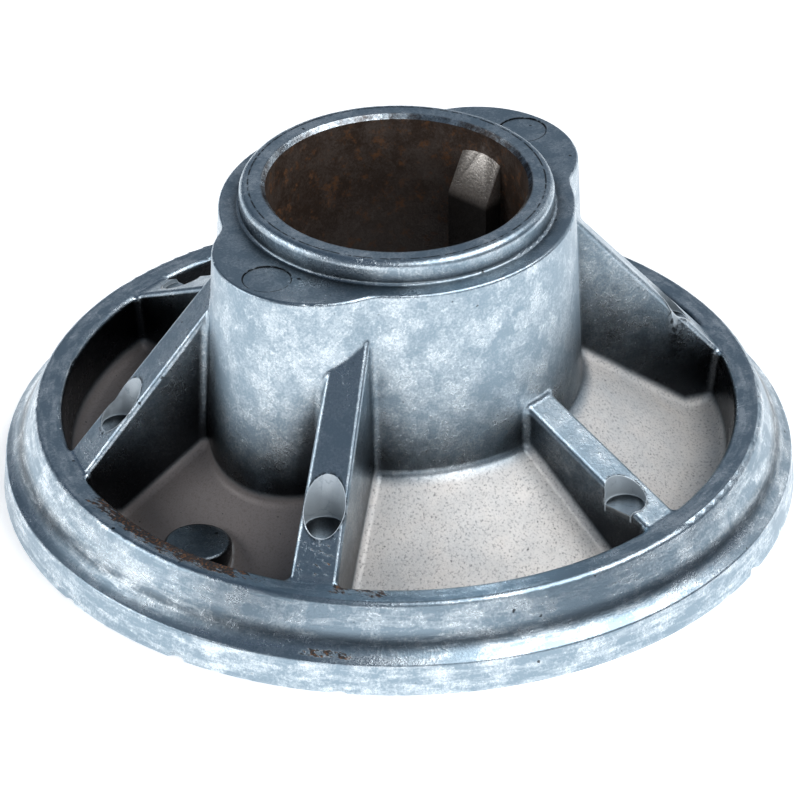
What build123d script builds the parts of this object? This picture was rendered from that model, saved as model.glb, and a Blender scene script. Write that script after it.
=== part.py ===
from build123d import *
import os
from math import atan2, cos, radians, sin, tan

# Blade support: the die-cast hub that carries a mower's cutting blade on the crankshaft.
# Z is the shaft's axis and points up to the engine. z = 0 is the seat of the blade.
# X runs through the two lobes of the hub, and the key of the bore stands at +X.

# Bore and key
BORE_D = 25.0
BORE_CHAMFER = 0.4
KEY_W = 4.76
KEY_H = 2.36  # how far the key stands into the bore
KEY_DROP = 2.5  # how far below the mouth of the bore the key begins
KEY_LEAD_DEG = 30.0  # slope of the key's lead-in, from the shaft's axis

# Hub and collar
HUB_H = 30.2
HUB_WALL = 4.5  # round the bore, at the hub's top
LOBE_R = 9.8
LOBE_REACH = 4.3  # how far a lobe stands out past the round hub
VALLEY_R = 2.5  # round between the hub and a lobe
HUB_EDGE_R = 0.35
HUB_FOOT_R = 1.2
COLLAR_H = 2.35
COLLAR_WALL = 2.5
COLLAR_EDGE_R = 0.8
COLLAR_FOOT_R = 0.3
DRAFT_DEG = 2.2

# Flange, ring and web
RIM_R = 38.35
RIM_DRAFT_DEG = 4.6
FLANGE_T = 3.1
FLANGE_EDGE_R = 0.4
FLANGE_W = 3.35  # from the rim in to the ring's top
RING_H = 8.05
RING_W = 2.5  # across the ring's top
RING_LEAN = 1.1  # how far the ring's outer wall leans out on its way down to the cove
RING_EDGE_R = 0.7
RING_INNER_DRAFT_DEG = 9.0
COVE_H = 2.3  # from the flange's edge up to the ring's outer wall
GUTTER_T = 2.5
GUTTER_W = 2.62
GUTTER_FILLET_R = 1.5  # gutter to ring
WEB_FILLET_R = 3.0  # gutter to cone
WEB_DEG = 37.0
WEB_T = 3.2

# Ribs: a tall one on each side of each lobe, a low one about halfway between the lobes
TALL_DEGS = (-28.9, 27.3)  # from the lobe's axis
TALL_W = 4.6  # across the rib's top, where it meets the ring
TALL_DROP = 3.8  # from the hub's top down to the rib, where it meets the round hub
LOW_DEG = 90.9
LOW_W = 4.0
LOW_DROP = 14.6
RIB_EDGE_R = 0.5
RIB_DRAFT_DEG = 1.6
RIB_FOOT_R = 0.8

# Ejector pins: a pit in each rib, a pad on the web below each lobe, a faint disc on each lobe's top.
# The pits sit a little off the middle of their ribs. Insets are taken from the ring's inner edge.
PIN_D = 3.9
TALL_PIN_DEGS = (-29.3, 27.3)
TALL_PIN_INSET = 4.6
TALL_PIT = 2.3  # depth of a pit on the pin's axis
LOW_PIN_DEG = 89.2
LOW_PIN_INSET = 3.6
LOW_PIT = 1.3
PAD_D = 6.4
PAD_INSET = 4.0
PAD_RISE = 3.5  # above the gutter
PAD_EDGE_R = 0.4
DISC_INSET = 3.0  # from a lobe's end
DISC_D = 4.6
DISC_DEPTH = 0.1

# Nicks knocked into the rim's lower edge: angle from +X in degrees, depth
NICK_R = 1.1
NICKS = [(-192.7, 0.25), (-171.4, 0.5), (-146.9, 0.35), (-76.6, 0.5)]

BORE_R = BORE_D / 2
HUB_R = BORE_R + HUB_WALL
LOBE_END = HUB_R + LOBE_REACH
TOP_Z = HUB_H + COLLAR_H
CORE_R = BORE_R + HUB_WALL / 2  # in the hub's wall, where the pieces that meet the hub end

RING_TOP_R = RIM_R - FLANGE_W
RING_FOOT_R = RING_TOP_R + RING_LEAN
RING_INNER_R = RING_TOP_R - RING_W
WALL_FOOT_R = RING_INNER_R - (RING_H - GUTTER_T) * tan(radians(RING_INNER_DRAFT_DEG))
GUTTER_R = WALL_FOOT_R - GUTTER_W  # where the flat gutter meets the cone of the web
WEB_TAN = tan(radians(WEB_DEG))
WEB_RISE = WEB_T / cos(radians(WEB_DEG))  # the web's thickness, measured upright

RIB_END_R = RING_TOP_R - RING_W / 2  # inside the ring, where the ribs end
RIB_RUN = RING_INNER_R - HUB_R
TALL_SLOPE = atan2(HUB_H - TALL_DROP - RING_H, RIB_RUN)
LOW_SLOPE = atan2(HUB_H - LOW_DROP - RING_H, RIB_RUN)
RIB_LOW_Z = GUTTER_T / 2
BASE = (Align.CENTER, Align.CENTER, Align.MIN)


def web_z(r):
    """Height of the web's upper face at a radius."""
    return GUTTER_T + (GUTTER_R - r) * WEB_TAN


def corners(sketch, *points):
    """The sketch's vertices at these points."""
    return [v for v in sketch.vertices() if any((v.center() - Vector(*p)).length < 1e-4 for p in points)]


def join(body, piece, radius):
    """Join a piece to the body and round the corners between them, as far as the walls allow."""
    joined = body + piece
    seams = new_edges(body, piece, combined=joined)
    for share in (1, 0.6, 0.3):
        try:
            return fillet(seams, radius * share)
        except ValueError:
            continue
    return joined


def make_rim():
    """Flange, ring and web, turned from one half section of (radius, height) points."""
    flange_edge = (RIM_R - FLANGE_T * tan(radians(RIM_DRAFT_DEG)), FLANGE_T)
    cove_top = (RING_FOOT_R, FLANGE_T + COVE_H)
    ring_out = (RING_TOP_R, RING_H)
    ring_in = (RING_INNER_R, RING_H)
    wall_foot = (WALL_FOOT_R, GUTTER_T)
    gutter = (GUTTER_R, GUTTER_T)
    relief_r = GUTTER_R - (WEB_RISE - GUTTER_T) / WEB_TAN
    down_wall = (RING_LEAN, FLANGE_T + COVE_H - RING_H)
    cove = TangentArc(cove_top, flange_edge, tangent=down_wall)
    rest = Polyline(
        cove_top,
        ring_out,
        ring_in,
        wall_foot,
        gutter,
        (CORE_R, web_z(CORE_R)),
        (CORE_R, web_z(CORE_R) - WEB_RISE),
        (relief_r, 0),
        (RIM_R, 0),
        flange_edge,
    )
    section = make_face([*cove.edges(), *rest.edges()])
    section = fillet(corners(section, flange_edge), FLANGE_EDGE_R)
    section = fillet(corners(section, ring_out, ring_in), RING_EDGE_R)
    section = fillet(corners(section, wall_foot), GUTTER_FILLET_R)
    section = fillet(corners(section, gutter), WEB_FILLET_R)
    return revolve(Plane.XZ * section, Axis.Z)


def make_hub():
    """The hub, a circle with two lobes, drafted both ways from a level inside the web."""
    split_z = web_z(CORE_R) - WEB_RISE / 2
    grow = (HUB_H - split_z) * tan(radians(DRAFT_DEG))
    plan = Circle(HUB_R + grow)
    for side in (-1, 1):
        plan += Pos(side * (LOBE_END - LOBE_R), 0) * Circle(LOBE_R + grow)
    plan = Pos(0, 0, split_z) * fillet(plan.vertices(), VALLEY_R)
    upper = extrude(plan, HUB_H - split_z, taper=DRAFT_DEG)
    upper = fillet(upper.faces().sort_by(Axis.Z)[-1].edges(), HUB_EDGE_R)
    lower = extrude(plan, split_z, dir=(0, 0, -1), taper=DRAFT_DEG)
    return upper + lower


def make_collar():
    """The short collar round the mouth of the bore."""
    collar = Pos(0, 0, HUB_H / 2) * Cylinder(BORE_R + COLLAR_WALL, TOP_Z - HUB_H / 2, align=BASE)
    return fillet(collar.edges().sort_by(Axis.Z)[-1], COLLAR_EDGE_R)


def make_rib_room():
    """The room that the ribs may fill: above the middle of the web, from the hub to inside the ring."""
    low_r = GUTTER_R - (WEB_RISE / 2 - RIB_LOW_Z) / WEB_TAN
    outline = Polyline(
        (CORE_R, web_z(CORE_R) - WEB_RISE / 2),
        (low_r, RIB_LOW_Z),
        (RIB_END_R, RIB_LOW_Z),
        (RIB_END_R, HUB_H),
        (CORE_R, HUB_H),
        close=True,
    )
    return revolve(Plane.XZ * make_face(outline), Axis.Z)


def make_rib(slope, width):
    """One rib along +X: a wall with drafted sides, cut off along its sloping top line."""
    high_z = RING_H + (RING_INNER_R - CORE_R) * tan(slope)
    end_z = RING_H - (RIB_END_R - RING_INNER_R) * tan(slope)
    lean = tan(radians(RIB_DRAFT_DEG))
    foot = width / 2 + (RING_H - RIB_LOW_Z) * lean
    crest = width / 2 - (high_z - RING_H) * lean
    across = Polyline((-foot, RIB_LOW_Z), (foot, RIB_LOW_Z), (crest, high_z), (-crest, high_z), close=True)
    wall = extrude(Plane.YZ * make_face(across), RIB_END_R)
    side = Polyline(
        (CORE_R, RIB_LOW_Z),
        (RIB_END_R, RIB_LOW_Z),
        (RIB_END_R, end_z),
        (CORE_R, high_z),
        close=True,
    )
    rib = wall & extrude(Plane.XZ * make_face(side), width, both=True)
    facing = Vector(sin(slope), 0, cos(slope))
    top = max(rib.faces(), key=lambda face: face.normal_at().dot(facing))
    return fillet(top.edges().sort_by(SortBy.LENGTH)[-2:], RIB_EDGE_R)


def make_pad():
    """The round pad of an ejector pin, standing on the web with a sharp foot."""
    pad = Pos(0, 0, GUTTER_T / 2) * Cylinder(PAD_D / 2, GUTTER_T / 2 + PAD_RISE, align=BASE)
    return fillet(pad.edges().sort_by(Axis.Z)[-1], PAD_EDGE_R)


def make_casting():
    """The casting as it leaves the die, before the pins' marks and the bore."""
    body = join(make_rim(), make_hub(), HUB_FOOT_R)
    body = join(body, make_collar(), COLLAR_FOOT_R)
    room = make_rib_room()
    tall = make_rib(TALL_SLOPE, TALL_W) & room
    low = make_rib(LOW_SLOPE, LOW_W) & room
    for turn in (0, 180):
        for angle in TALL_DEGS:
            body = join(body, Rot(0, 0, turn + angle) * tall, RIB_FOOT_R)
        body = join(body, Rot(0, 0, turn + LOW_DEG) * low, RIB_FOOT_R)
        body += Rot(0, 0, turn) * Pos(RING_INNER_R - PAD_INSET, 0) * make_pad()
    return body


def pit_tool(slope, inset, depth):
    """The pin that leaves a pit in a rib along +X."""
    floor_z = RING_H + inset * tan(slope) - depth
    return Pos(RING_INNER_R - inset, 0, floor_z) * Cylinder(PIN_D / 2, TOP_Z, align=BASE)


def cut_pin_marks(body):
    """A flat-floored pit in each rib and a faint disc on each lobe's top."""
    tall = pit_tool(TALL_SLOPE, TALL_PIN_INSET, TALL_PIT)
    low = pit_tool(LOW_SLOPE, LOW_PIN_INSET, LOW_PIT)
    disc = Pos(LOBE_END - DISC_INSET, 0, HUB_H - DISC_DEPTH) * Cylinder(DISC_D / 2, COLLAR_H, align=BASE)
    for turn in (0, 180):
        for angle in TALL_PIN_DEGS:
            body -= Rot(0, 0, turn + angle) * tall
        body -= Rot(0, 0, turn + LOW_PIN_DEG) * low
        body -= Rot(0, 0, turn) * disc
    return body


def cut_nicks(body):
    """Small bites out of the rim's lower edge."""
    for angle, depth in NICKS:
        tool = Pos(RIM_R + NICK_R - depth, 0, 0) * Sphere(NICK_R)
        body -= Rot(0, 0, angle) * tool
    return body


def make_shaft_room():
    """The bore with its chamfered mouths."""
    mouth = BORE_R + BORE_CHAMFER
    outline = Polyline(
        (0, 0),
        (mouth, 0),
        (BORE_R, BORE_CHAMFER),
        (BORE_R, TOP_Z - BORE_CHAMFER),
        (mouth, TOP_Z),
        (0, TOP_Z),
        close=True,
    )
    return revolve(Plane.XZ * make_face(outline), Axis.Z)


def make_key():
    """The cast-in key with its sloping lead-in, down to the lower mouth of the bore."""
    face_r = BORE_R - KEY_H
    start_z = TOP_Z - KEY_DROP
    full_z = start_z - KEY_H / tan(radians(KEY_LEAD_DEG))
    outline = Polyline(
        (face_r, BORE_CHAMFER),
        (face_r, full_z),
        (BORE_R, start_z),
        (CORE_R, start_z),
        (CORE_R, BORE_CHAMFER),
        close=True,
    )
    return extrude(Plane.XZ * make_face(outline), KEY_W / 2, both=True)


casting = cut_nicks(cut_pin_marks(make_casting()))
casting -= make_shaft_room()
casting += make_key()
casting.label = "blade_support"

os.makedirs("parts", exist_ok=True)
export_step(casting, "parts/blade_support.step")
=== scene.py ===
"""Looks of the blade support: the worn skin of the casting, its dirt and rust, its painted shade and
highlights, and a plain studio.
"""

import math

import bpy
from bpy.props import FloatProperty, FloatVectorProperty, PointerProperty
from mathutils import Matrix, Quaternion, Vector


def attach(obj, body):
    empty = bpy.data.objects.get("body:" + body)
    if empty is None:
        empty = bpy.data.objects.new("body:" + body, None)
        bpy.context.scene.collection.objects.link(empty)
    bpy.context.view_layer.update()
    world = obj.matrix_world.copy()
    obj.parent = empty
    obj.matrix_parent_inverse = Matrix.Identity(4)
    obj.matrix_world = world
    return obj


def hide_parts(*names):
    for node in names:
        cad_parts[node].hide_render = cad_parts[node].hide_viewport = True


bl_info = {
    "name": "Blade support looks",
    "version": (1, 0, 0),
    "blender": (4, 5, 0),
    "location": "View3D > Sidebar > Blade support",
    "description": "Builds the aged cast skin of a mower's blade support on its CAD frame",
    "category": "Object",
}

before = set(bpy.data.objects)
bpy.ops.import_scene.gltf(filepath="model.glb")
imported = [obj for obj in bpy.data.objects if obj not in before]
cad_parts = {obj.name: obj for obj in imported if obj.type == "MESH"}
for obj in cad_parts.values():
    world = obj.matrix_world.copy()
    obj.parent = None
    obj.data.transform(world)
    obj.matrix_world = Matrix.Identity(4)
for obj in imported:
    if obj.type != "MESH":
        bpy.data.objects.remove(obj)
NODE = "blade_support"

# Soft boxes: name, direction (degrees from the picture's right, seen from above), elevation in degrees,
# distance, width, height (metres), brightness
SOFT_BOXES = (
    ("right", -20.0, 58.0, 1.4, 1.5, 0.85, 3.6),
    ("behind_right", 45.0, 17.0, 1.8, 0.9, 0.5, 1.1),
    ("behind", 95.0, 34.0, 1.8, 2.0, 1.0, 0.2),
    ("front", -90.0, 11.0, 1.9, 2.6, 0.45, 1.7),
    ("left", 188.0, 21.0, 1.8, 1.3, 0.8, 2.6),
)

# Places on the casting, in millimetres from its axis (R) or its foot (Z).
# A step names where a mark is absent and where it is full; a band names start, full, fall and end.
WEB_FOOT_R = 29.0
WEB_SLOPE = 0.7536
GUTTER_Z = 2.5
WEB_R_BAND = (17.5, 19.0, 31.5, 33.0)
WEB_ABOVE_STEP = (1.3, 0.3)
RING_R_STEP = (30.5, 32.0)
RING_TOP_Z_STEP = (6.9, 7.6)
RING_MUD_R_BAND = (31.8, 32.2, 33.5, 35.3)
COVE_R_BAND = (34.5, 35.1, 36.5, 37.3)
COVE_Z_STEP = (5.8, 4.4)
BRIM_R_BAND = (36.9, 37.2, 37.6, 37.9)
BRIM_Z_STEP = (2.8, 3.05)
RIB_END = (-27.6, -14.2, 9.6)
RIB_END_STEP = (3.6, 1.4)
DISC = (18.3, 0.0, 0.0)
DISC_BAND = (2.2, 2.27, 2.34, 2.42)
DISC_Z_STEP = (29.9, 30.0)
COLLAR_LINE_R_BAND = (14.0, 14.1, 14.16, 14.26)
COLLAR_TOP_Z_STEP = (32.2, 32.4)
MOUTH_R_STEP = (13.1, 12.8)
MOUTH_Z_STEP = (31.7, 32.0)
# Heights of the painted shade that darkens the bore toward its bottom
BORE_PAINTED_SHADE_Z_STEP = (30.0, 10.0)
# Heights of the painted shadow on the key's lower part
KEY_PAINTED_SHADOW_Z_STEP = (26.6, 25.4)

# Pits of one half of the casting: distance from the axis in millimetres, degrees from the X axis
PITS = ((27.9, 27.3), (27.9, 150.7), (28.9, 89.2))
PIT_STEP = (2.02, 1.98)
PIT_WALL_STEP = (1.80, 1.88)
PIT_RIM_STEP = (2.30, 2.05)
PIT_Z_STEP = (7.6, 8.0)

# Sides of the casting, as the cosine toward its X axis or Y axis
MUD_X_STEP = (-0.3, -0.6)
STREAK_Y_BAND = (-0.48, -0.20, 0.22, 0.44)
CRUMB_Y_BAND = (-0.68, -0.62, -0.53, -0.46)
BRIM_Y_BAND = (-0.60, -0.57, -0.46, -0.43)
BROWN_SIDE_X_STEP = (0.1, -0.1)
BROWN_SIDE_Y_STEP = (-0.50, -0.44)

# Turn that brings the seam of the pattern round the axis to the casting's far side
SEAM_TURN = math.radians(138.3)
SEAM_RADIUS = 34.0


def colour(name, description, default):
    """A colour property."""
    return FloatVectorProperty(
        name=name, description=description, default=default, subtype="COLOR", min=0.0, max=1.0, size=3
    )


def length(name, description, default):
    """A length property, in metres."""
    return FloatProperty(
        name=name, description=description, default=default, min=0.0, unit="LENGTH", precision=5
    )


def angle(name, description, degrees):
    """An angle property, given in degrees."""
    return FloatProperty(name=name, description=description, default=math.radians(degrees), unit="ROTATION")


class CastingSettings(bpy.types.PropertyGroup):
    """Sizes and colours of the casting's skin."""

    merge_gap: length("Merge gap", "Points closer than this are one point", 0.000002)
    smooth_angle: angle("Smooth angle", "Edges flatter than this are shaded round", 32)
    bore_radius: length("Bore radius", "Faces inside this radius are the bore's wall and key", 0.01255)
    key_radius: length("Key radius", "Faces inside this radius are the key's", 0.0121)
    key_half: length("Key half width", "Half the width of the key in the bore", 0.00245)
    # Pale also gives the painted highlights on the edges and fillets
    pale: colour("Pale skin", "Bright flow marks of the casting", (0.84, 0.92, 0.97))
    slate: colour("Slate skin", "Dull skin between the flow marks", (0.33, 0.43, 0.51))
    warm: colour("Warm floor", "Dust on the web", (0.90, 0.85, 0.80))
    # Brown: the dark grain of the dust on the web, and the darker brown of the web on one side
    brown: colour("Brown floor", "Oily stain on the web", (0.21, 0.175, 0.165))
    # Soot: the colour of the real dirt specks, lines and mud, and also of the painted shade in the corners,
    # the cove, the deep bore and the key's lower part
    soot_and_shade: colour("Soot", "Dirt in the corners", (0.020, 0.021, 0.024))
    rust: colour("Rust", "Bright rust and dry mud", (0.26, 0.115, 0.045))
    rust_dark: colour("Dark rust", "Old rust in the bore", (0.060, 0.036, 0.024))
    bore: colour("Bore", "Bare metal of the bore between the rust", (0.16, 0.125, 0.105))
    key: colour("Key", "Dull face of the key", (0.95, 0.90, 0.84))


class StageSettings(bpy.types.PropertyGroup):
    """Floor, lamps and camera."""

    floor_size: length("Floor size", "Side of the square floor", 6.0)
    floor_drop: length("Floor drop", "How far the floor lies below the casting", 0.00005)
    floor_colour: colour("Floor colour", "Plain pale floor", (0.86, 0.86, 0.86))
    floor_lift: FloatProperty(
        name="Floor lift",
        description="Light that only the camera and reflections see on the floor",
        default=0.64,
    )
    air: colour("Air", "Dim light from all round", (0.045, 0.072, 0.11))
    turn: angle("Turn", "Angle from the picture's right to the casting's X axis", 48.3)
    elevation: angle("Elevation", "Height of the camera above the floor, as an angle", 32.46)
    roll: angle("Roll", "Lean of the camera", -0.44)
    distance: length("Distance", "From the camera to the point it looks at", 0.6612)
    aim: FloatVectorProperty(
        name="Aim",
        description="Point that the camera looks at",
        default=(0.000104, -0.000116, 0.008021),
        unit="LENGTH",
        subtype="TRANSLATION",
        size=3,
        precision=6,
    )
    lens: FloatProperty(name="Lens", description="Focal length in millimetres", default=307.9)
    sensor: FloatProperty(name="Sensor", description="Width of the sensor in millimetres", default=36.0)


class Graph:
    """A node tree with short ways to add and join its nodes."""

    def __init__(self, tree):
        self.tree = tree

    def feed(self, socket, value):
        """Link a socket, or give it a plain value."""
        if isinstance(value, bpy.types.NodeSocket):
            self.tree.links.new(value, socket)
        else:
            socket.default_value = value

    def add(self, kind, values=None, **settings):
        """Add a node with its own settings and its input values, by socket name or number."""
        node = self.tree.nodes.new(kind)
        for name, value in settings.items():
            setattr(node, name, value)
        for key, value in (values or {}).items():
            self.feed(node.inputs[key], value)
        return node

    def math(self, operation, *values, clamp=False):
        """A sum of one or two values."""
        node = self.add("ShaderNodeMath", dict(enumerate(values)), operation=operation, use_clamp=clamp)
        return node.outputs[0]

    def chain(self, operation, first, others):
        """The same sum again and again over several values."""
        for other in others:
            first = self.math(operation, first, other)
        return first

    def times(self, first, *others):
        """The product of values."""
        return self.chain("MULTIPLY", first, others)

    def plus(self, first, *others):
        """The total of values."""
        return self.chain("ADD", first, others)

    def most(self, first, *others):
        """The largest of values."""
        return self.chain("MAXIMUM", first, others)

    def less(self, first, second):
        """One value less another."""
        return self.math("SUBTRACT", first, second)

    def vector(self, operation, first, second):
        """A sum of two vectors."""
        return self.add("ShaderNodeVectorMath", {0: first, 1: second}, operation=operation).outputs[0]

    def away(self, first, second):
        """The distance between two points."""
        node = self.add("ShaderNodeVectorMath", {0: first, 1: second}, operation="DISTANCE")
        return node.outputs["Value"]

    def split(self, vector):
        """The three parts of a vector."""
        return self.add("ShaderNodeSeparateXYZ", {0: vector}).outputs

    def bundle(self, x, y, z=0.0):
        """A vector of three parts."""
        return self.add("ShaderNodeCombineXYZ", {0: x, 1: y, 2: z}).outputs[0]

    def stretch(self, vector, scale):
        """A point with its axes scaled."""
        return self.add("ShaderNodeMapping", {"Vector": vector, "Scale": scale}).outputs[0]

    def step(self, value, low, high):
        """A soft step from 0 at one value to 1 at another."""
        values = {"Value": value, "From Min": low, "From Max": high}
        return self.add("ShaderNodeMapRange", values, interpolation_type="SMOOTHSTEP").outputs[0]

    def band(self, value, start, full, fall, end):
        """1 between two values, with a soft edge on both sides."""
        return self.times(self.step(value, start, full), self.step(value, end, fall))

    def lerp(self, factor, low, high):
        """A value between two values."""
        values = {"Value": factor, "To Min": low, "To Max": high}
        return self.add("ShaderNodeMapRange", values).outputs[0]

    def mix(self, factor, first, second):
        """A mix of two colours."""
        node = self.add("ShaderNodeMix", data_type="RGBA")
        for number, value in ((0, factor), (6, first), (7, second)):
            self.feed(node.inputs[number], value)
        return node.outputs[2]

    def noise(self, point, scale, detail, roughness):
        """Cloudy noise from 0 to 1; its colour holds three different clouds."""
        values = {"Vector": point, "Scale": scale, "Detail": detail, "Roughness": roughness}
        return self.add("ShaderNodeTexNoise", values).outputs

    def bump(self, height, strength, distance):
        """A surface direction roughened by a height."""
        values = {"Strength": strength, "Distance": distance, "Height": height}
        return self.add("ShaderNodeBump", values).outputs[0]

    def use(self, group, **values):
        """The outputs of a node that runs a group."""
        node = self.add("ShaderNodeGroup", node_tree=group)
        for key, value in values.items():
            self.feed(node.inputs[key.title()], value)
        return node.outputs


def start_group(name, inputs, outputs):
    """A new node group: its inputs are (name, type, default) and its outputs (name, type)."""
    tree = bpy.data.node_groups.new(name, "ShaderNodeTree")
    for label, kind, default in inputs:
        socket = tree.interface.new_socket(name=label, in_out="INPUT", socket_type="NodeSocket" + kind)
        if default is not None:
            socket.default_value = default
    for label, kind in outputs:
        tree.interface.new_socket(name=label, in_out="OUTPUT", socket_type="NodeSocket" + kind)
    graph = Graph(tree)
    return graph, graph.add("NodeGroupInput").outputs, graph.add("NodeGroupOutput").inputs


def make_place_group():
    """Where a point lies about the shaft: millimetres from the axis and up, and the way it faces."""
    graph, _, result = start_group(
        "Place about the shaft",
        [],
        [
            ("Point", "Vector"),
            ("Around", "Vector"),
            ("Radius", "Float"),
            ("Height", "Float"),
            ("Toward X", "Float"),
            ("Toward Y", "Float"),
        ],
    )
    spot = graph.add("ShaderNodeTexCoord").outputs["Object"]
    point = graph.vector("MULTIPLY", spot, (1000.0, 1000.0, 1000.0))
    axes = graph.split(point)
    radius = graph.math("SQRT", graph.plus(graph.times(axes[0], axes[0]), graph.times(axes[1], axes[1])))
    values = {"Vector": point, "Angle": SEAM_TURN}
    turned = graph.add("ShaderNodeVectorRotate", values, rotation_type="Z_AXIS").outputs[0]
    ways = graph.split(turned)
    along = graph.times(graph.math("ARCTAN2", ways[1], ways[0]), SEAM_RADIUS)
    graph.feed(result["Point"], point)
    graph.feed(result["Around"], graph.bundle(along, radius, axes[2]))
    graph.feed(result["Radius"], radius)
    graph.feed(result["Height"], axes[2])
    graph.feed(result["Toward X"], graph.math("DIVIDE", axes[0], radius))
    graph.feed(result["Toward Y"], graph.math("DIVIDE", axes[1], radius))
    return graph.tree


def make_flow_group():
    """Flow marks of the molten metal: tone from dull to bright, hairline cracks and a fine grain."""
    graph, given, result = start_group(
        "Flow marks",
        [("Point", "Vector", None)],
        [("Tone", "Float"), ("Crack", "Float"), ("Grain", "Float"), ("Swell", "Float")],
    )
    drift = graph.noise(given["Point"], 0.55, 5.0, 0.65)["Color"]
    point = graph.vector("ADD", given["Point"], graph.vector("MULTIPLY", drift, (3.2, 3.2, 3.2)))
    swell = graph.noise(given["Point"], 0.11, 3.0, 0.55)[0]
    cloud = graph.noise(point, 0.34, 6.0, 0.72)[0]
    cells = graph.add("ShaderNodeTexVoronoi", {"Vector": point, "Scale": 0.46}).outputs
    flake = graph.split(cells["Color"])[0]
    fleck = graph.step(graph.noise(point, 1.15, 3.0, 0.6)[0], 0.57, 0.68)
    seams = graph.add("ShaderNodeTexVoronoi", {"Vector": point, "Scale": 0.36}, feature="DISTANCE_TO_EDGE")
    thin = graph.step(seams.outputs["Distance"], 0.035, 0.008)
    grain = graph.noise(given["Point"], 4.2, 3.0, 0.65)[0]
    tone = graph.plus(
        graph.times(graph.step(swell, 0.32, 0.68), 0.26),
        graph.times(graph.step(cloud, 0.36, 0.64), 0.40),
        graph.times(flake, 0.18),
        graph.times(fleck, 0.20),
        graph.times(graph.less(grain, 0.5), 1.15),
    )
    graph.feed(result["Tone"], graph.step(tone, 0.10, 1.08))
    graph.feed(result["Crack"], graph.times(thin, graph.step(cloud, 0.48, 0.56)))
    graph.feed(result["Grain"], grain)
    graph.feed(result["Swell"], cloud)
    return graph.tree


def make_corner_group():
    """How deep a point lies in a corner, for painted shade there, and how near it is to an edge, for painted
    highlights, both broken up by noise.
    """
    graph, given, result = start_group(
        "Corners and edges",
        [("Point", "Vector", None), ("Reach", "Float", 0.018)],
        [("Painted shade", "Float"), ("Edge", "Float")],
    )
    values = {"Distance": given["Reach"]}
    sky = graph.add("ShaderNodeAmbientOcclusion", values, samples=8, only_local=True).outputs["AO"]
    rough = graph.less(graph.noise(given["Point"], 0.6, 5.0, 0.65)[0], 0.5)
    depth = graph.plus(graph.less(1.0, sky), graph.times(rough, 0.18))
    soft = graph.add("ShaderNodeBevel", {"Radius": 0.0005}, samples=4).outputs[0]
    plain = graph.add("ShaderNodeNewGeometry").outputs["Normal"]
    turn = graph.add("ShaderNodeVectorMath", {0: soft, 1: plain}, operation="DOT_PRODUCT").outputs["Value"]
    graph.feed(result["Painted shade"], graph.step(depth, 0.13, 0.50))
    graph.feed(result["Edge"], graph.times(graph.step(turn, 0.995, 0.86), graph.step(rough, -0.14, 0.06)))
    return graph.tree


def make_speck_group():
    """Scattered specks: 1 on a speck, 0 between them."""
    graph, given, result = start_group(
        "Specks",
        [("Point", "Vector", None), ("Scale", "Float", 0.5), ("Size", "Float", 0.12)],
        [("Speck", "Float")],
    )
    wobble = graph.noise(given["Point"], 2.6, 3.0, 0.6)["Color"]
    point = graph.vector("ADD", given["Point"], graph.vector("MULTIPLY", wobble, (0.5, 0.5, 0.5)))
    cells = graph.add("ShaderNodeTexVoronoi", {"Vector": point, "Scale": given["Scale"]}).outputs
    size = graph.times(given["Size"], graph.step(graph.split(cells["Color"])[0], 0.45, 1.0))
    graph.feed(result["Speck"], graph.step(graph.less(size, cells["Distance"]), 0.0, 0.03))
    return graph.tree


def shade(value):
    """A colour property as four numbers."""
    return (*value, 1.0)


def start_material(name):
    """A new material, its graph and the sockets of its surface."""
    material = bpy.data.materials.new(name)
    material.use_nodes = True
    return material, Graph(material.node_tree), material.node_tree.nodes["Principled BSDF"].inputs


def start_pattern(graph, groups):
    """The place of a point on the casting and the flow marks there."""
    place = graph.use(groups["place"])
    return place, graph.use(groups["flow"], point=place["Point"])


def mark_web(graph, place):
    """1 on the web and gutter, 0 on all that stands above them."""
    fall = graph.times(graph.less(WEB_FOOT_R, place["Radius"]), WEB_SLOPE)
    above = graph.less(place["Height"], graph.plus(GUTTER_Z, graph.most(0.0, fall)))
    return graph.times(graph.step(above, *WEB_ABOVE_STEP), graph.band(place["Radius"], *WEB_R_BAND))


def mark_wisps(graph, place):
    """Bright wisps drawn out round the axis."""
    drawn = graph.stretch(place["Around"], (0.30, 1.5, 1.5))
    return graph.step(graph.noise(drawn, 0.75, 5.0, 0.66)[0], 0.42, 0.66)


def mark_mud(graph, place):
    """Dried mud along the ring's inner edge, and crumbs beside it, on a rib's end and on the brim."""
    rough = graph.noise(graph.stretch(place["Point"], (1.3, 0.4, 1.3)), 1.5, 5.0, 0.7)[0]
    on_top = graph.step(place["Height"], *RING_TOP_Z_STEP)
    side = graph.step(place["Toward X"], *MUD_X_STEP)
    streak = graph.times(graph.band(place["Toward Y"], *STREAK_Y_BAND), side)
    crumbs = graph.times(graph.band(place["Toward Y"], *CRUMB_Y_BAND), side, 0.72)
    inner = graph.times(graph.band(place["Radius"], *RING_MUD_R_BAND), on_top)
    ring = graph.times(inner, graph.most(streak, crumbs))
    brim = graph.times(graph.band(place["Radius"], *BRIM_R_BAND), graph.step(place["Height"], *BRIM_Z_STEP))
    brim = graph.times(brim, side, graph.band(place["Toward Y"], *BRIM_Y_BAND), 0.7)
    rib = graph.times(graph.step(graph.away(place["Point"], RIB_END), *RIB_END_STEP), 0.5)
    where = graph.most(ring, brim, rib)
    return graph.step(graph.plus(graph.times(where, 0.44), rough), 0.78, 0.86)


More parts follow.
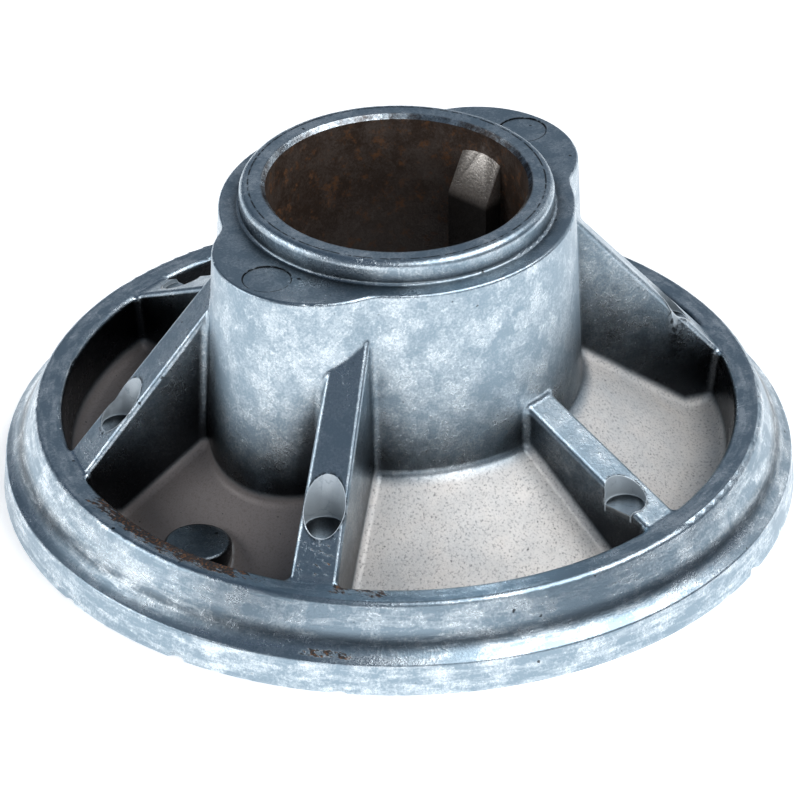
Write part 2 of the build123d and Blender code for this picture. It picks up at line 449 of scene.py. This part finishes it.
def mark_lines(graph, place):
    """Thin dark lines at the pits' rims, round the two discs and on the collar; the pits; their walls."""
    axes = graph.split(place["Point"])
    spot = graph.bundle(graph.times(axes[0], graph.math("SIGN", axes[1])), graph.math("ABSOLUTE", axes[1]))
    near = 100.0
    for reach, degrees in PITS:
        flat = math.radians(degrees)
        centre = (reach * math.cos(flat), reach * math.sin(flat), 0.0)
        near = graph.math("MINIMUM", near, graph.away(spot, centre))
    ragged = graph.noise(place["Point"], 1.3, 4.0, 0.7)[0]
    edge = graph.plus(near, graph.times(graph.less(ragged, 0.5), 0.9))
    above = graph.step(place["Height"], *PIT_Z_STEP)
    pits = graph.times(graph.step(near, *PIT_STEP), above)
    walls = graph.times(pits, graph.step(near, *PIT_WALL_STEP))
    outside = graph.times(graph.less(above, pits), graph.step(ragged, 0.42, 0.55))
    rims = graph.times(graph.step(edge, *PIT_RIM_STEP), outside)
    lobe = graph.bundle(graph.math("ABSOLUTE", axes[0]), axes[1])
    discs = graph.band(graph.away(lobe, DISC), *DISC_BAND)
    discs = graph.times(discs, graph.step(place["Height"], *DISC_Z_STEP))
    collar = graph.band(place["Radius"], *COLLAR_LINE_R_BAND)
    collar = graph.times(collar, graph.step(place["Height"], *COLLAR_TOP_Z_STEP))
    thin = graph.times(graph.most(discs, collar), graph.step(ragged, 0.40, 0.52))
    return graph.most(rims, thin), pits, walls


def make_skin(settings, groups):
    """The as-cast skin: flow marks, dust on the web, painted shade in the corners and the cove, painted
    highlights on the edges, mud and rust on the ring's edge.
    """
    material, graph, surface = start_material("cast_aluminium_skin")
    place, flow = start_pattern(graph, groups)
    point, grain = place["Point"], flow["Grain"]
    lines, pits, walls = mark_lines(graph, place)
    web = mark_web(graph, place)
    wisp = mark_wisps(graph, place)
    mud = mark_mud(graph, place)
    corner = graph.use(groups["corner"], point=point)
    plain = graph.less(1.0, pits)
    soot_and_shade, pale, slate = shade(settings.soot_and_shade), shade(settings.pale), shade(settings.slate)

    # Bare metal with its flow marks, drawn into wisps on the ring and flange
    outer = graph.step(place["Radius"], *RING_R_STEP)
    gain = graph.times(graph.less(wisp, 0.32), graph.times(outer, 0.65))
    tone = graph.most(graph.math("ADD", flow["Tone"], gain, clamp=True), graph.times(pits, 0.8))
    base = graph.mix(tone, slate, pale)
    base = graph.mix(graph.times(flow["Crack"], 0.45), base, slate)

    # Dust on the web, and the web darker brown in the dishes on one side
    dust = graph.lerp(graph.noise(point, 0.22, 5.0, 0.6)[0], 0.45, 1.15)
    dusty = graph.mix(graph.step(grain, 0.50, 0.24), shade(settings.warm), shade(settings.brown))
    base = graph.mix(graph.times(web, dust), base, dusty)
    side = graph.step(place["Toward X"], *BROWN_SIDE_X_STEP)
    side = graph.times(side, graph.step(place["Toward Y"], *BROWN_SIDE_Y_STEP))
    base = graph.mix(graph.times(web, side, graph.lerp(grain, 0.60, 1.15)), base, shade(settings.brown))

    # Painted shade in the cove and the corners, and painted highlights on the edges and fillets
    # Painted shade: the cove darkened, broken up by the wisps
    cove = graph.times(graph.band(place["Radius"], *COVE_R_BAND), graph.step(place["Height"], *COVE_Z_STEP))
    base = graph.mix(graph.times(cove, graph.lerp(wisp, 0.72, 0.42)), base, soot_and_shade)
    held = graph.less(1.0, graph.times(walls, 0.6))
    # Painted shade: darker deep in the corners, held back on the pit walls and mostly kept off the web
    base = graph.mix(graph.times(corner["Painted shade"], held, graph.lerp(web, 0.97, 0.12)), base, soot_and_shade)
    # Painted highlights: edges and fillets lightened toward the pale colour
    base = graph.mix(graph.times(corner["Edge"], 0.5), base, pale)

    # Specks and thin lines
    coarse = graph.use(groups["speck"], point=point, scale=0.5, size=0.1)["Speck"]
    fine = graph.use(groups["speck"], point=point, scale=1.1, size=0.12)["Speck"]
    specks = graph.most(graph.times(coarse, 0.85), graph.times(fine, graph.lerp(web, 0.35, 0.75)))
    base = graph.mix(graph.most(graph.times(specks, plain), graph.times(lines, 0.9)), base, soot_and_shade)

    # Rust at the bore's mouth, mud on the ring
    mouth = graph.times(graph.step(place["Radius"], *MOUTH_R_STEP), graph.step(place["Height"], *MOUTH_Z_STEP))
    mouth = graph.times(mouth, graph.step(flow["Swell"], 0.68, 0.38), 0.9)
    base = graph.mix(mouth, base, shade(settings.rust_dark))
    base = graph.mix(mud, base, graph.mix(graph.step(grain, 0.50, 0.68), soot_and_shade, shade(settings.rust)))

    height = graph.times(graph.plus(graph.times(grain, 0.6), graph.times(flow["Swell"], 1.6)), plain)
    height = graph.less(graph.plus(height, graph.times(mud, 0.6)), graph.times(flow["Crack"], 0.15))
    dull = graph.most(mud, graph.times(web, 0.82), graph.times(walls, 0.8))
    rough = graph.plus(graph.lerp(tone, 0.34, 0.24), graph.times(web, 0.16), graph.times(mud, 0.4))
    graph.feed(surface["Metallic"], graph.less(1.0, dull))
    graph.feed(surface["Base Color"], base)
    graph.feed(surface["Roughness"], rough)
    graph.feed(surface["Normal"], graph.bump(height, 0.45, 0.00008))
    return material


def make_bore(settings, groups):
    """The bore's wall: old rust left by the shaft, with painted shade deeper down."""
    material, graph, surface = start_material("bore_rust_and_painted_shade")
    place, flow = start_pattern(graph, groups)
    base = graph.mix(flow["Tone"], shade(settings.rust_dark), shade(settings.bore))
    rusty = graph.step(graph.noise(place["Point"], 0.8, 6.0, 0.7)[0], 0.52, 0.68)
    base = graph.mix(graph.times(rusty, 0.75), base, shade(settings.rust))
    # Painted shade: the bore darker toward its bottom
    deep = graph.step(place["Height"], *BORE_PAINTED_SHADE_Z_STEP)
    base = graph.mix(graph.times(deep, 0.8), base, shade(settings.soot_and_shade))
    surface["Metallic"].default_value = 0.25
    graph.feed(surface["Base Color"], base)
    graph.feed(surface["Roughness"], graph.lerp(rusty, 0.45, 0.75))
    graph.feed(surface["Normal"], graph.bump(flow["Grain"], 0.5, 0.00008))
    return material


def make_key(settings, groups):
    """The key's dull face, scraped by the shaft, with a painted shadow over its lower part."""
    material, graph, surface = start_material("key_face")
    place, flow = start_pattern(graph, groups)
    base = graph.mix(graph.lerp(flow["Tone"], 0.6, 1.2), shade(settings.rust_dark), shade(settings.key))
    # Painted shadow: the key's lower part dark
    deep = graph.step(place["Height"], *KEY_PAINTED_SHADOW_Z_STEP)
    base = graph.mix(graph.times(deep, 0.9), base, shade(settings.soot_and_shade))
    surface["Metallic"].default_value = 0.9
    graph.feed(surface["Base Color"], base)
    graph.feed(surface["Roughness"], graph.lerp(flow["Tone"], 0.44, 0.32))
    graph.feed(surface["Normal"], graph.bump(flow["Grain"], 0.5, 0.0001))
    return material


def pick_only(piece):
    """Make a piece the only selected and active object."""
    bpy.ops.object.select_all(action="DESELECT")
    piece.select_set(True)
    bpy.context.view_layer.objects.active = piece


def apply_modifier(piece, name, kind, **settings):
    """Put a modifier on a piece and apply it."""
    modifier = piece.modifiers.new(name, kind)
    for key, value in settings.items():
        setattr(modifier, key, value)
    pick_only(piece)
    bpy.ops.object.modifier_apply(modifier=modifier.name)


class BLADESUPPORT_OT_casting(bpy.types.Operator):
    """Build the casting's visible skin from a merged copy of the CAD solid"""

    bl_idname = "bladesupport.casting"
    bl_label = "Casting skin"

    def execute(self, context):
        settings = context.scene.bladesupport_casting
        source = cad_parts.get(NODE)
        if source is None:
            raise RuntimeError("the frame has no node " + NODE)
        piece = bpy.data.objects.new("casting_skin", source.data.copy())
        context.scene.collection.objects.link(piece)
        pick_only(piece)
        bpy.ops.object.mode_set(mode="EDIT")
        bpy.ops.mesh.select_all(action="SELECT")
        bpy.ops.mesh.remove_doubles(threshold=settings.merge_gap)
        bpy.ops.object.mode_set(mode="OBJECT")
        bpy.ops.mesh.customdata_custom_splitnormals_clear()
        bpy.ops.object.shade_smooth_by_angle(angle=settings.smooth_angle)
        apply_modifier(piece, "even_shading", "WEIGHTED_NORMAL", keep_sharp=True)
        self.paint(piece, settings)
        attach(piece, "root")
        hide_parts(NODE)
        return {"FINISHED"}

    def paint(self, piece, settings):
        """Give the skin, the bore's wall and the key their materials."""
        groups = {
            "place": make_place_group(),
            "flow": make_flow_group(),
            "corner": make_corner_group(),
            "speck": make_speck_group(),
        }
        piece.data.materials.clear()
        for maker in (make_skin, make_bore, make_key):
            piece.data.materials.append(maker(settings, groups))
        for face in piece.data.polygons:
            x, y, _ = face.center
            reach = math.hypot(x, y)
            if reach < settings.bore_radius and abs(face.normal.z) < 0.6:
                inward = reach < settings.key_radius or face.normal.z > 0.3
                on_key = inward and x > 0 and abs(y) < settings.key_half
                face.material_index = 2 if on_key else 1


class BLADESUPPORT_OT_stage(bpy.types.Operator):
    """Set up the floor, the soft boxes and the camera"""

    bl_idname = "bladesupport.stage"
    bl_label = "Studio"

    def execute(self, context):
        settings = context.scene.bladesupport_stage
        self.lay_floor(settings)
        self.hang_lamps(context, settings)
        self.set_camera(context, settings)
        return {"FINISHED"}

    def lay_floor(self, settings):
        """A pale floor that reaches past the picture on every side."""
        bpy.ops.object.select_all(action="DESELECT")
        bpy.ops.mesh.primitive_plane_add(size=settings.floor_size, location=(0, 0, -settings.floor_drop))
        floor = bpy.context.object
        floor.name = "floor"
        material, graph, surface = start_material("floor")
        surface["Base Color"].default_value = shade(settings.floor_colour)
        surface["Roughness"].default_value = 0.9
        surface["Specular IOR Level"].default_value = 0.0
        surface["Emission Color"].default_value = (1.0, 1.0, 1.0, 1.0)
        path = graph.add("ShaderNodeLightPath").outputs
        seen = graph.most(path["Is Camera Ray"], path["Is Glossy Ray"])
        graph.feed(surface["Emission Strength"], graph.times(seen, settings.floor_lift))
        floor.data.materials.append(material)

    def hang_lamps(self, context, settings):
        """Soft boxes round the casting and dim air between them."""
        for name, around, up, distance, width, height, brightness in SOFT_BOXES:
            lamp = bpy.data.lights.new(name, "AREA")
            lamp.shape = "RECTANGLE"
            lamp.size = width
            lamp.size_y = height
            lamp.energy = brightness * math.pi * width * height
            holder = bpy.data.objects.new(name, lamp)
            context.scene.collection.objects.link(holder)
            way = self.way(math.radians(around) - settings.turn, math.radians(up))
            holder.location = way * distance
            holder.rotation_euler = way.to_track_quat("Z", "Y").to_euler()
        world = bpy.data.worlds.new("air")
        world.use_nodes = True
        background = world.node_tree.nodes["Background"]
        background.inputs["Color"].default_value = shade(settings.air)
        background.inputs["Strength"].default_value = 1.0
        context.scene.world = world
        context.scene.view_settings.view_transform = "Standard"

    def set_camera(self, context, settings):
        """The camera of the photo: a long lens, a little to the front and above."""
        way = self.way(-math.pi / 2 - settings.turn, settings.elevation)
        camera = bpy.data.cameras.new("camera")
        camera.lens = settings.lens
        camera.sensor_width = settings.sensor
        camera.clip_start = 0.05
        camera.clip_end = 20.0
        holder = bpy.data.objects.new("camera", camera)
        context.scene.collection.objects.link(holder)
        holder.location = Vector(settings.aim) + way * settings.distance
        look = way.to_track_quat("Z", "Y") @ Quaternion((0, 0, 1), settings.roll)
        holder.rotation_euler = look.to_euler()
        context.scene.camera = holder

    @staticmethod
    def way(flat, up):
        """The direction at an angle round the axis and an angle above the floor."""
        return Vector((math.cos(up) * math.cos(flat), math.cos(up) * math.sin(flat), math.sin(up)))


class BLADESUPPORT_PT_panel(bpy.types.Panel):
    """Sizes, colours and steps of the blade support"""

    bl_label = "Blade support"
    bl_idname = "BLADESUPPORT_PT_panel"
    bl_space_type = "VIEW_3D"
    bl_region_type = "UI"
    bl_category = "Blade support"

    def draw(self, context):
        for holder, operator in (
            (context.scene.bladesupport_casting, BLADESUPPORT_OT_casting),
            (context.scene.bladesupport_stage, BLADESUPPORT_OT_stage),
        ):
            box = self.layout.box()
            for name in holder.__annotations__:
                box.prop(holder, name)
            box.operator(operator.bl_idname)


CLASSES = (
    CastingSettings,
    StageSettings,
    BLADESUPPORT_OT_casting,
    BLADESUPPORT_OT_stage,
    BLADESUPPORT_PT_panel,
)


def register():
    """Make the add-on's classes and settings known."""
    for item in CLASSES:
        bpy.utils.register_class(item)
    bpy.types.Scene.bladesupport_casting = PointerProperty(type=CastingSettings)
    bpy.types.Scene.bladesupport_stage = PointerProperty(type=StageSettings)


def unregister():
    """Take the add-on's classes and settings away."""
    del bpy.types.Scene.bladesupport_stage
    del bpy.types.Scene.bladesupport_casting
    for item in reversed(CLASSES):
        bpy.utils.unregister_class(item)


def main():
    """Build the looks."""
    register()
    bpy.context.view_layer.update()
    bpy.ops.bladesupport.casting()
    bpy.ops.bladesupport.stage()
    bpy.context.view_layer.update()


if __name__ == "__main__":
    main()
